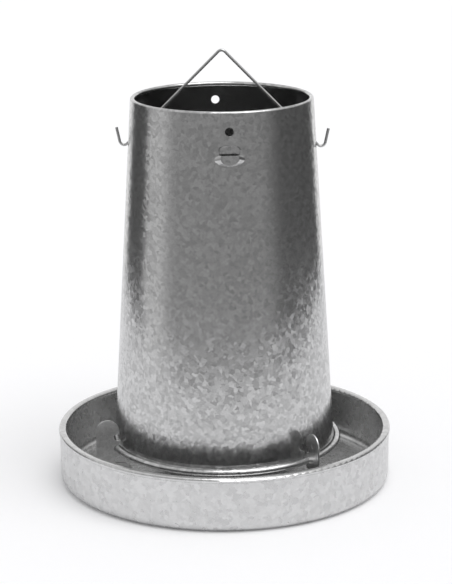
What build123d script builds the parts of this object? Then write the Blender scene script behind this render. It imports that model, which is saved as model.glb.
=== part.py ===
# Hanging poultry feeder of galvanised sheet steel.
# A conical hopper sits with its bottom bead in the notches of three brackets that are riveted
# into a round feed pan. A bent wire bail hangs the feeder from two holes near the top.
# Millimetres, +Z up, origin at the centre of the pan's underside, front of the feeder at -Y.
import math
import os

from build123d import *

# Feed pan
pan_radius = 180.0
pan_height = 59.2
pan_sheet = 0.8
pan_corner_radius = 9.7
rim_width = 7.9
rim_height = 5.2
rim_round = 2.4
rim_overhang = 1.1
rim_bend_radius = 1.2
rim_gap = 1.4
floor_margin = 17.0
floor_raise = 2.6
step_radius = 2.0

# Hopper
hopper_top_radius = 96.2
hopper_bottom_radius = 118.7
hopper_top = 418.4
hopper_sheet = 0.6
top_bead_radius = 2.5
ring_height = 45.0
ring_bead_radius = 3.4
ring_radius = 123.0
flare_height = 6.5
curl_sweep = 300.0
seam_angle = 132.0
seam_width = 7.0
seam_fold = 0.8
seam_margin = 4.0

# Holes and pressed lugs of the hopper
lug_count = 2
lug_angle = 8.3
hanging_hole_diameter = 9.0
hanging_hole_drop = 20.3
bail_hole_diameter = 5.6
bail_hole_drop = 49.5
slit_drop = 43.6
lug_width = 33.8
lug_height = 15.4
lug_middle_drop = 5.5
lug_face_width = 19.0
lug_face_height = 14.0
lug_face_drop = 3.0
lug_depth = 3.4
lug_sink = 2.0
recess_width = 27.4
recess_rise = 10.7
recess_lean = 10.0
recess_slope = 2.2
recess_corner = 4.0
recess_depth = 2.4

# Bail
wire_diameter = 3.0
bail_peak = 468.5
bail_top_bend = 5.0
hook_bend = 4.6
hook_reach = 7.7
hook_length = 24.0
hook_lean = 12.0

# Brackets
bracket_angles = (-65.1, 49.6, 172.2)
bracket_turn = 18.4
bracket_sheet = 1.5
bracket_height = 76.7
bracket_width = 24.6
wall_clearance = 0.4
notch_pitch = 12.4
notch_clearance = 0.3
tooth_round = 0.8
toe_length = 15.0
toe_round = 13.0
foot_width = 15.0
foot_bend_radius = 2.4
dimple_length = 7.0
dimple_width = 3.2
dimple_depth = 0.35

# Rivets
rivet_diameter = 4.0
rivet_spacing = 20.0
rivet_head_diameter = 8.0
rivet_head_height = 1.8
rivet_head_round = 1.7
rivet_tail_height = 1.4
rivet_tail_chamfer = 0.4
rivet_clearance = 0.05


def tangent_point(centre, radius, point, side):
    """Where a line from the point touches the circle, on the side given as +1 or -1."""
    across, up = point[0] - centre[0], point[1] - centre[1]
    angle = math.atan2(up, across) + side * math.acos(radius / math.hypot(across, up))
    touch = (centre[0] + radius * math.cos(angle), centre[1] + radius * math.sin(angle))
    return touch, math.degrees(angle)


# The hopper's wall runs straight from the top bead to the flare above the bottom bead
half_sheet = hopper_sheet / 2
top_curl = (hopper_top_radius - top_bead_radius, hopper_top - top_bead_radius)
ring_curl = (ring_radius, ring_height)
flare_start = (hopper_bottom_radius - half_sheet, ring_height + flare_height)
wall_top, top_curl_angle = tangent_point(top_curl, top_bead_radius - half_sheet, flare_start, 1)
wall_foot, ring_curl_angle = tangent_point(ring_curl, ring_bead_radius - half_sheet, flare_start, 1)


def wall_radius(height):
    """Radius of the middle of the hopper's sheet at a height."""
    share = (height - flare_start[1]) / (wall_top[1] - flare_start[1])
    return flare_start[0] + share * (wall_top[0] - flare_start[0])


# Where each bracket stands, and the two rivets of its foot in the bracket's own frame:
# X runs outward along its plate from the middle of the bottom bead, Z is up
bracket_places = [
    Location(
        Plane(
            origin=(
                ring_radius * math.sin(math.radians(angle)),
                -ring_radius * math.cos(math.radians(angle)),
                0,
            ),
            x_dir=(
                math.sin(math.radians(angle - bracket_turn)),
                -math.cos(math.radians(angle - bracket_turn)),
                0,
            ),
            z_dir=(0, 0, 1),
        )
    )
    for angle in bracket_angles
]
floor_top = floor_raise + pan_sheet
mouth_outside = ring_radius - ring_bead_radius + hopper_sheet
inner_edge = mouth_outside + wall_clearance - ring_radius
outer_edge = inner_edge + bracket_width
toe_edge = inner_edge - toe_length
half_plate = bracket_sheet / 2
rivet_line = (foot_width + half_plate + foot_bend_radius) / 2
rivet_spots = [
    ((toe_edge + outer_edge + side * rivet_spacing) / 2, rivet_line) for side in (-1, 1)
]
rivet_hole_radius = rivet_diameter / 2 + rivet_clearance

# Feed pan: one drawn sheet, with a raised floor panel, a rounded corner and a rim rolled
# inward into a flat bead that stands a little proud of the wall
pan_wall = pan_radius - rim_overhang
floor_panel_radius = pan_wall - floor_margin
rim_bottom = pan_height - rim_height
rim_inside = pan_radius - rim_width
rim_end = pan_wall - pan_sheet - rim_gap
with BuildPart() as pan:
    with BuildSketch(Plane.XZ):
        with BuildLine():
            FilletPolyline(
                (0, floor_raise),
                (floor_panel_radius, floor_raise),
                (floor_panel_radius + floor_raise, 0),
                (pan_wall, 0),
                (pan_wall, rim_bottom),
                (pan_radius, rim_bottom + rim_overhang),
                (pan_radius, pan_height),
                (rim_inside, pan_height),
                (rim_inside, rim_bottom),
                (rim_end, rim_bottom),
                radius=[step_radius] * 2 + [pan_corner_radius] + [rim_bend_radius] * 2 + [rim_round] * 3,
            )
            offset(amount=pan_sheet, side=Side.LEFT)
        make_face()
    revolve(axis=Axis.Z)
    for place in bracket_places:
        with Locations([place * Location((along, across, floor_top)) for along, across in rivet_spots]):
            Hole(rivet_hole_radius, depth=2 * pan_sheet)

# Solids of revolution inside and outside the hopper's sheet, which trim its pressed lugs
with BuildPart() as inner_core:
    with BuildSketch(Plane.XZ):
        Polygon(
            (0, flare_start[1]),
            (flare_start[0] - half_sheet, flare_start[1]),
            (wall_top[0] - half_sheet, wall_top[1]),
            (0, wall_top[1]),
            align=None,
        )
    revolve(axis=Axis.Z)
with BuildPart() as outer_core:
    with BuildSketch(Plane.XZ):
        Polygon(
            (0, flare_start[1]),
            (flare_start[0] + half_sheet, flare_start[1]),
            (wall_top[0] + half_sheet, wall_top[1]),
            (0, wall_top[1]),
            align=None,
        )
    revolve(axis=Axis.Z)

# Pressed lug below each hanging hole: a scoop pushed outward under a slit, and a recess
# pushed inward above it. Each pressing is drawn whole and then cut off at the slit.
hanging_hole_height = hopper_top - hanging_hole_drop
bail_hole_height = hopper_top - bail_hole_drop
slit_height = hopper_top - slit_drop
slit_plane = Plane.XY.offset(slit_height)
lug_face = wall_radius(slit_height) + half_sheet
scoop_root = lug_face - lug_sink
scoop_face = lug_face + lug_depth
recess_root = lug_face + hopper_sheet
recess_floor = lug_face - recess_depth


def scoop_press(root, face, inset):
    """An oval tool tapering outward, from one distance in front of the axis to another."""
    with BuildPart() as press:
        with BuildSketch(Plane.XZ.offset(root)):
            with Locations((0, slit_height - lug_middle_drop)):
                Ellipse(lug_width / 2 - inset, lug_height / 2 - inset)
        with BuildSketch(Plane.XZ.offset(face)):
            with Locations((0, slit_height - lug_face_drop)):
                Ellipse(lug_face_width / 2 - inset, lug_face_height / 2 - inset)
        loft()
    return press.part


def recess_press(root, floor, inset):
    """A tool that narrows inward and downward, from one distance in front of the axis to another."""
    with BuildPart() as press:
        for distance, slope in ((root, 0), (floor, recess_slope)):
            less = inset + slope
            with BuildSketch(Plane.XZ.offset(distance)):
                with Locations((0, slit_height)):
                    Trapezoid(recess_width - 2 * less, 2 * (recess_rise - less), 90 - recess_lean, rotation=180)
                fillet(vertices(), recess_corner - inset)
        loft()
    return press.part


with BuildPart() as scoop:
    add(scoop_press(scoop_root, scoop_face, 0))
    split(bisect_by=slit_plane, keep=Keep.BOTTOM)
    add(inner_core.part, mode=Mode.SUBTRACT)
with BuildPart() as scoop_hollow:
    add(scoop_press(scoop_root - hopper_sheet, scoop_face - hopper_sheet, hopper_sheet))
    split(bisect_by=slit_plane, keep=Keep.BOTTOM)
with BuildPart() as recess:
    add(recess_press(recess_root, recess_floor - hopper_sheet, 0))
    split(bisect_by=slit_plane, keep=Keep.TOP)
    add(outer_core.part, mode=Mode.INTERSECT)
with BuildPart() as recess_hollow:
    add(recess_press(recess_root + hopper_sheet, recess_floor, hopper_sheet))
    split(bisect_by=slit_plane, keep=Keep.TOP)

# Hopper: one sheet rolled to a cone, curled inward at the top and outward at the bottom
seam_sweep = math.degrees(seam_width / hopper_bottom_radius)
seam_plane = Plane.XZ.rotated((0, 0, seam_angle - 90 - seam_sweep / 2))
seam_bottom = flare_start[1] + seam_margin
seam_top = wall_top[1] - seam_margin
with BuildPart() as hopper:
    with BuildSketch(Plane.XZ):
        with BuildLine():
            CenterArc(top_curl, top_bead_radius - half_sheet, top_curl_angle, curl_sweep)
            Polyline(wall_top, flare_start, wall_foot)
            CenterArc(ring_curl, ring_bead_radius - half_sheet, ring_curl_angle, curl_sweep)
            offset(amount=half_sheet)
        make_face()
    revolve(axis=Axis.Z)
    with BuildSketch(seam_plane):
        Polygon(
            (wall_radius(seam_bottom), seam_bottom),
            (wall_radius(seam_bottom) + half_sheet + seam_fold, seam_bottom),
            (wall_radius(seam_top) + half_sheet + seam_fold, seam_top),
            (wall_radius(seam_top), seam_top),
            align=None,
        )
    revolve(axis=Axis.Z, revolution_arc=seam_sweep)
    lug_turns = [lug_angle + 360 * turn / lug_count for turn in range(lug_count)]
    with Locations(*[Location((0, 0, 0), (0, 0, turn)) for turn in lug_turns]):
        add(scoop.part)
        add(recess.part)
        add(scoop_hollow.part, mode=Mode.SUBTRACT)
        add(recess_hollow.part, mode=Mode.SUBTRACT)
    lug_plane = Plane.XZ.rotated((0, 0, lug_angle))
    with Locations(Plane((0, 0, hanging_hole_height), z_dir=lug_plane.z_dir)):
        Hole(hanging_hole_diameter / 2)
    with Locations(Plane((0, 0, bail_hole_height), z_dir=(1, 0, 0))):
        Hole(bail_hole_diameter / 2)

# Bail: one bent wire, through the side holes from inside, with its ends hooked up outside
bail_hole_reach = wall_radius(bail_hole_height)
leg_slope = (bail_peak - bail_hole_height) / bail_hole_reach
corner_reach = bail_hole_reach + hook_reach
hook_corner = (corner_reach, bail_peak - leg_slope * corner_reach)
hook_tip = (
    hook_corner[0] + hook_length * math.sin(math.radians(hook_lean)),
    hook_corner[1] + hook_length * math.cos(math.radians(hook_lean)),
)
with BuildPart() as bail:
    with BuildLine(Plane.XZ) as bail_path:
        FilletPolyline(
            (-hook_tip[0], hook_tip[1]),
            (-hook_corner[0], hook_corner[1]),
            (0, bail_peak),
            hook_corner,
            hook_tip,
            radius=[hook_bend, bail_top_bend, hook_bend],
        )
    with BuildSketch(Plane(bail_path.line @ 0, z_dir=bail_path.line % 0)):
        Circle(wire_diameter / 2)
    sweep(path=bail_path.line)

# Bracket: a notched upright plate with a rounded head and a toe under the hopper, and a
# foot bent over onto the pan's floor. The hopper's bottom bead sits in the middle notch.
notch_radius = ring_bead_radius + notch_clearance
toe_top = ring_height - notch_pitch - notch_radius
head_radius = bracket_width / 2
head_centre = bracket_height - head_radius
with BuildPart() as bracket:
    with BuildSketch(Plane.YZ.offset(toe_edge)):
        with BuildLine():
            FilletPolyline(
                (-half_plate, bracket_height),
                (-half_plate, floor_top),
                (foot_width, floor_top),
                radius=foot_bend_radius,
            )
            offset(amount=bracket_sheet, side=Side.LEFT)
        make_face()
    extrude(amount=outer_edge - toe_edge)
    with BuildSketch(Plane.XZ):
        with BuildLine():
            Polyline(
                (inner_edge, head_centre),
                (inner_edge, toe_top),
                (toe_edge + toe_round, toe_top),
            )
            TangentArc((toe_edge + toe_round, toe_top), (toe_edge, toe_top - toe_round), tangent=(-1, 0))
            Polyline(
                (toe_edge, toe_top - toe_round),
                (toe_edge, floor_top),
                (outer_edge, floor_top),
                (outer_edge, head_centre),
            )
            CenterArc((inner_edge + head_radius, head_centre), head_radius, 0, 180)
        make_face()
        with Locations([(0, ring_height + step * notch_pitch) for step in (-1, 0, 1)]):
            SlotCenterPoint((-bracket_width, 0), (0, 0), 2 * notch_radius, mode=Mode.SUBTRACT)
    extrude(amount=2 * foot_width, both=True, mode=Mode.INTERSECT)
    teeth = bracket.edges().filter_by(Axis.Y).filter_by_position(
        Axis.X, inner_edge - tooth_round, inner_edge + tooth_round
    ).filter_by_position(Axis.Z, toe_top + tooth_round, bracket_height)
    fillet(teeth, tooth_round)
    with BuildSketch(Plane.XZ.offset(half_plate - dimple_depth), Plane.XZ.offset(-half_plate)):
        with Locations((inner_edge + head_radius, head_centre)):
            Ellipse(dimple_width / 2, dimple_length / 2)
    extrude(amount=dimple_depth, mode=Mode.SUBTRACT)
    with Locations([(along, across, floor_top + bracket_sheet) for along, across in rivet_spots]):
        Hole(rivet_hole_radius, depth=2 * bracket_sheet)

# Rivet: a domed head on the bracket's foot, a shank through foot and floor, and a flat tail
with BuildPart() as rivet:
    with BuildSketch(Plane.XY.offset(floor_raise)):
        Circle(rivet_diameter / 2)
    extrude(amount=pan_sheet + bracket_sheet)
    with BuildSketch(Plane.XY.offset(floor_raise)):
        Circle(rivet_head_diameter / 2)
    extrude(amount=-rivet_tail_height)
    with BuildSketch(Plane.XY.offset(floor_top + bracket_sheet)):
        Circle(rivet_head_diameter / 2)
    extrude(amount=rivet_head_height)
    fillet(rivet.edges().group_by(Axis.Z)[-1], rivet_head_round)
    chamfer(rivet.edges().group_by(Axis.Z)[0], rivet_tail_chamfer)

pieces = {"pan": pan.part, "hopper": hopper.part, "bail": bail.part}
for number, place in enumerate(bracket_places, 1):
    pieces["bracket_" + str(number)] = bracket.part.moved(place)
    for side, (along, across) in enumerate(rivet_spots):
        spot = place * Location((along, across, 0))
        pieces["rivet_" + str(2 * number - 1 + side)] = rivet.part.moved(spot)

os.makedirs("parts", exist_ok=True)
for name, piece in pieces.items():
    piece.label = name
    export_step(piece, "parts/" + name + ".step")
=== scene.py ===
import math

import bpy
from mathutils import Matrix, Vector

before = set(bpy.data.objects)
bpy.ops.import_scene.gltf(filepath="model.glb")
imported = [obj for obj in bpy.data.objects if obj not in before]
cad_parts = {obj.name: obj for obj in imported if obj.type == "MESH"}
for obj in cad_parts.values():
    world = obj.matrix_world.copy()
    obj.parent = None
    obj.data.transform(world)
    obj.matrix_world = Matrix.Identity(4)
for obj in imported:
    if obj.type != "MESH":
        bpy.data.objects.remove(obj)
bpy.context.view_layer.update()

# Camera: the photograph's frame is 452 x 584 pixels, and its long side is the sensor's width
PHOTO_WIDTH = 452
PHOTO_HEIGHT = 584
SENSOR = 36.0
FOCAL_PIXELS = 2059.7
CAMERA_TURN = math.radians(4.0)
CAMERA_DISTANCE = 2.1324
CAMERA_HEIGHT = 0.7816
CAMERA_PITCH = math.radians(15.107)
CAMERA_YAW = math.radians(0.076)
CAMERA_ROLL = -0.0074

# The white table that the feeder stands on, as metal sees it, in metres
TABLE_CENTRE = (0.0, 0.15, 0.0)
TABLE_RADIUS = 0.98
TABLE_FADE = 0.05


def add_node(tree, kind, inputs=None, **properties):
    """Adds a shader node; each input is given a plain value or linked to a socket."""
    made = tree.nodes.new(kind)
    for name, value in properties.items():
        setattr(made, name, value)
    for name, value in (inputs or {}).items():
        if isinstance(value, bpy.types.NodeSocket):
            tree.links.new(value, made.inputs[name])
        else:
            made.inputs[name].default_value = value
    return made


def math_node(tree, operation, first, second=0.0, third=0.0, clamp=False):
    """A Math node's result."""
    made = add_node(tree, "ShaderNodeMath", {0: first, 1: second, 2: third}, operation=operation)
    made.use_clamp = clamp
    return made.outputs[0]


def ramp_node(tree, factor, stops, interpolation="LINEAR"):
    """A grey Color Ramp from (place, brightness) pairs."""
    made = add_node(tree, "ShaderNodeValToRGB", {"Fac": factor})
    ramp = made.color_ramp
    ramp.interpolation = interpolation
    while len(ramp.elements) < len(stops):
        ramp.elements.new(0.5)
    for element, (place, shade) in zip(ramp.elements, stops):
        element.position = place
        element.color = (shade, shade, shade, 1)
    return made.outputs["Color"]


def new_material(name):
    """An empty material and its node tree."""
    material = bpy.data.materials.new(name)
    material.use_nodes = True
    material.node_tree.nodes.clear()
    return material, material.node_tree


# Shared effects


def make_spangle_group():
    """Zinc crystals: a mottled shade from 0 to 1 and a normal that tilts from crystal to crystal."""
    group = bpy.data.node_groups.new("Zinc Spangle", "ShaderNodeTree")
    face = group.interface
    for name, value in (("Crystals per Metre", 250.0), ("Tilt", 0.03), ("Grain", 0.5)):
        socket = face.new_socket(name, in_out="INPUT", socket_type="NodeSocketFloat")
        socket.default_value = value
    face.new_socket("Shade", in_out="OUTPUT", socket_type="NodeSocketFloat")
    face.new_socket("Normal", in_out="OUTPUT", socket_type="NodeSocketVector")
    source = add_node(group, "NodeGroupInput").outputs
    place = add_node(group, "ShaderNodeTexCoord").outputs["Object"]
    drift = add_node(
        group, "ShaderNodeTexNoise", {"Vector": place, "Scale": 160.0, "Detail": 3.0}
    ).outputs["Color"]
    bent = add_node(
        group,
        "ShaderNodeVectorMath",
        {0: drift, 1: (0.006, 0.006, 0.006), 2: place},
        operation="MULTIPLY_ADD",
    ).outputs[0]
    crystal = add_node(
        group, "ShaderNodeTexVoronoi", {"Vector": bent, "Scale": source["Crystals per Metre"]}
    ).outputs["Color"]
    fine_scale = math_node(group, "MULTIPLY", source["Crystals per Metre"], 2.6)
    fine = add_node(
        group,
        "ShaderNodeTexNoise",
        {"Vector": bent, "Scale": fine_scale, "Detail": 4.0, "Roughness": 0.7},
    ).outputs["Fac"]
    crystal_shade = add_node(group, "ShaderNodeSeparateColor", {"Color": crystal}).outputs["Red"]
    shade = add_node(
        group,
        "ShaderNodeMix",
        {"Factor": source["Grain"], 2: crystal_shade, 3: fine},
        data_type="FLOAT",
    ).outputs[0]
    centred = add_node(
        group, "ShaderNodeVectorMath", {0: crystal, 1: (0.5, 0.5, 0.5)}, operation="SUBTRACT"
    ).outputs[0]
    leaning = add_node(group, "ShaderNodeVectorMath", {0: centred}, operation="SCALE")
    group.links.new(source["Tilt"], leaning.inputs["Scale"])
    upright = add_node(group, "ShaderNodeNewGeometry").outputs["Normal"]
    tilted = add_node(
        group, "ShaderNodeVectorMath", {0: upright, 1: leaning.outputs[0]}, operation="ADD"
    ).outputs[0]
    normal = add_node(group, "ShaderNodeVectorMath", {0: tilted}, operation="NORMALIZE").outputs[0]
    add_node(group, "NodeGroupOutput", {"Shade": shade, "Normal": normal})
    return group


def zinc_material(name, spangle, dark, light, rough, crystals, tilt, grain):
    """Galvanised sheet: dark and light are the metal's shades between its crystals."""
    material, tree = new_material(name)
    effect = add_node(tree, "ShaderNodeGroup", node_tree=spangle)
    effect.inputs["Crystals per Metre"].default_value = crystals
    effect.inputs["Tilt"].default_value = tilt
    effect.inputs["Grain"].default_value = grain
    colour = ramp_node(tree, effect.outputs["Shade"], [(0.2, dark), (0.8, light)])
    roughness = add_node(
        tree,
        "ShaderNodeMapRange",
        {"Value": effect.outputs["Shade"], "To Min": rough[1], "To Max": rough[0]},
    ).outputs[0]
    shader = add_node(
        tree,
        "ShaderNodeBsdfPrincipled",
        {
            "Base Color": colour,
            "Metallic": 1.0,
            "Roughness": roughness,
            "Normal": effect.outputs["Normal"],
        },
    )
    add_node(tree, "ShaderNodeOutputMaterial", {"Surface": shader.outputs["BSDF"]})
    return material


# Floor, studio and camera


def make_floor():
    """A white floor that keeps the feeder's shadow; beyond the table metal sees the dark room."""
    material, tree = new_material("White Floor")
    rays = add_node(tree, "ShaderNodeLightPath").outputs
    matt = add_node(tree, "ShaderNodeBsdfDiffuse", {"Color": (0.93, 0.93, 0.935, 1)})
    lift = math_node(tree, "MULTIPLY", rays["Is Camera Ray"], 0.09)
    glow = add_node(tree, "ShaderNodeEmission", {"Color": (1, 1, 1, 1), "Strength": lift})
    paper = add_node(tree, "ShaderNodeAddShader", {0: matt.outputs[0], 1: glow.outputs[0]})
    place = add_node(tree, "ShaderNodeNewGeometry").outputs["Position"]
    reach = add_node(
        tree, "ShaderNodeVectorMath", {0: place, 1: TABLE_CENTRE}, operation="DISTANCE"
    ).outputs["Value"]
    beyond = add_node(
        tree,
        "ShaderNodeMapRange",
        {
            "Value": reach,
            "From Min": TABLE_RADIUS - TABLE_FADE,
            "From Max": TABLE_RADIUS + TABLE_FADE,
        },
        interpolation_type="SMOOTHSTEP",
    ).outputs[0]
    hidden = math_node(tree, "MULTIPLY", beyond, rays["Is Glossy Ray"])
    clear = add_node(tree, "ShaderNodeBsdfTransparent")
    mixed = add_node(tree, "ShaderNodeMixShader", {0: hidden, 1: paper.outputs[0], 2: clear.outputs[0]})
    add_node(tree, "ShaderNodeOutputMaterial", {"Surface": mixed.outputs[0]})
    mesh = bpy.data.meshes.new("floor")
    half = 14.0
    mesh.from_pydata(
        [(-half, -half, 0), (half, -half, 0), (half, half, 0), (-half, half, 0)], [], [(0, 1, 2, 3)]
    )
    mesh.materials.append(material)
    floor = bpy.data.objects.new("floor", mesh)
    bpy.context.scene.collection.objects.link(floor)


# What metal sees round the studio: (degrees from the camera's side, brightness)
STUDIO_ROUND = [
    (-180, 1.0),
    (-150, 1.0),
    (-140, 0.10),
    (-106, 0.10),
    (-98, 0.62),
    (-74, 0.62),
    (-62, 0.34),
    (50, 0.30),
    (72, 0.12),
    (140, 0.10),
    (150, 1.0),
    (180, 1.0),
]


def make_studio():
    """Even white light, and for metal a studio of dark and bright sides round the feeder."""
    world = bpy.data.worlds.new("Studio")
    bpy.context.scene.world = world
    world.use_nodes = True
    world.cycles.sampling_method = "NONE"
    tree = world.node_tree
    tree.nodes.clear()
    way = add_node(tree, "ShaderNodeTexCoord").outputs["Generated"]
    turned = add_node(
        tree,
        "ShaderNodeVectorRotate",
        {"Vector": way, "Angle": -CAMERA_TURN},
        rotation_type="Z_AXIS",
    ).outputs[0]
    parts = add_node(tree, "ShaderNodeSeparateXYZ", {0: turned}).outputs
    forward = math_node(tree, "MULTIPLY", parts["Y"], -1.0)
    angle = math_node(tree, "ARCTAN2", parts["X"], forward)
    share = math_node(tree, "MULTIPLY_ADD", angle, 0.5 / math.pi, 0.5)
    low = ramp_node(
        tree, share, [(0.5 + degrees / 360, shade) for degrees, shade in STUDIO_ROUND]
    )
    height = ramp_node(tree, parts["Z"], [(0.15, 0.0), (0.6, 1.0)], "EASE")
    studio = add_node(
        tree, "ShaderNodeMix", {"Factor": height, 6: low, 7: (0.7, 0.7, 0.7, 1)}, data_type="RGBA"
    ).outputs[2]
    rays = add_node(tree, "ShaderNodeLightPath").outputs
    ambient = add_node(
        tree,
        "ShaderNodeMix",
        {"Factor": rays["Is Glossy Ray"], 6: (0.62, 0.62, 0.63, 1), 7: studio},
        data_type="RGBA",
    ).outputs[2]
    seen = add_node(
        tree,
        "ShaderNodeMix",
        {"Factor": rays["Is Camera Ray"], 6: ambient, 7: (1, 1, 1, 1)},
        data_type="RGBA",
    ).outputs[2]
    light = add_node(tree, "ShaderNodeBackground", {"Color": seen, "Strength": 1.0})
    add_node(tree, "ShaderNodeOutputWorld", {"Surface": light.outputs[0]})


def make_lamp():
    """One broad soft lamp high up on the right."""
    data = bpy.data.lights.new("overhead", "SUN")
    data.energy = 1.25
    data.angle = math.radians(50)
    lamp = bpy.data.objects.new("overhead", data)
    lamp.rotation_euler = (math.radians(12), math.radians(18), 0)
    bpy.context.scene.collection.objects.link(lamp)


def make_camera():
    """The photograph's camera, turned round the feeder from its front."""
    data = bpy.data.cameras.new("photo_camera")
    data.sensor_width = SENSOR
    data.lens = SENSOR * FOCAL_PIXELS / PHOTO_HEIGHT
    data.clip_end = 60
    camera = bpy.data.objects.new("photo_camera", data)
    place = Vector((0, -CAMERA_DISTANCE, CAMERA_HEIGHT))
    camera.matrix_world = (
        Matrix.Rotation(CAMERA_TURN, 4, "Z")
        @ Matrix.Translation(place)
        @ Matrix.Rotation(-CAMERA_YAW, 4, "Z")
        @ Matrix.Rotation(math.pi / 2 - CAMERA_PITCH, 4, "X")
        @ Matrix.Rotation(CAMERA_ROLL, 4, "Z")
    )
    bpy.context.scene.collection.objects.link(camera)
    bpy.context.scene.camera = camera


spangle = make_spangle_group()
hopper_zinc = zinc_material("Hopper Zinc", spangle, 0.42, 0.72, (0.16, 0.26), 260.0, 0.05, 0.6)
pan_zinc = zinc_material("Pan Zinc", spangle, 0.60, 0.74, (0.22, 0.30), 200.0, 0.02, 0.5)
bracket_zinc = zinc_material("Bracket Zinc", spangle, 0.55, 0.78, (0.30, 0.42), 400.0, 0.06, 0.6)
wire_zinc = zinc_material("Wire Zinc", spangle, 0.50, 0.62, (0.20, 0.28), 400.0, 0.02, 0.6)
finishes = {"hopper": hopper_zinc, "pan": pan_zinc, "bail": wire_zinc}
for name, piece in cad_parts.items():
    piece.data.materials.clear()
    piece.data.materials.append(finishes.get(name, bracket_zinc))

make_floor()
make_studio()
make_lamp()
make_camera()
bpy.context.scene.view_settings.view_transform = "Standard"
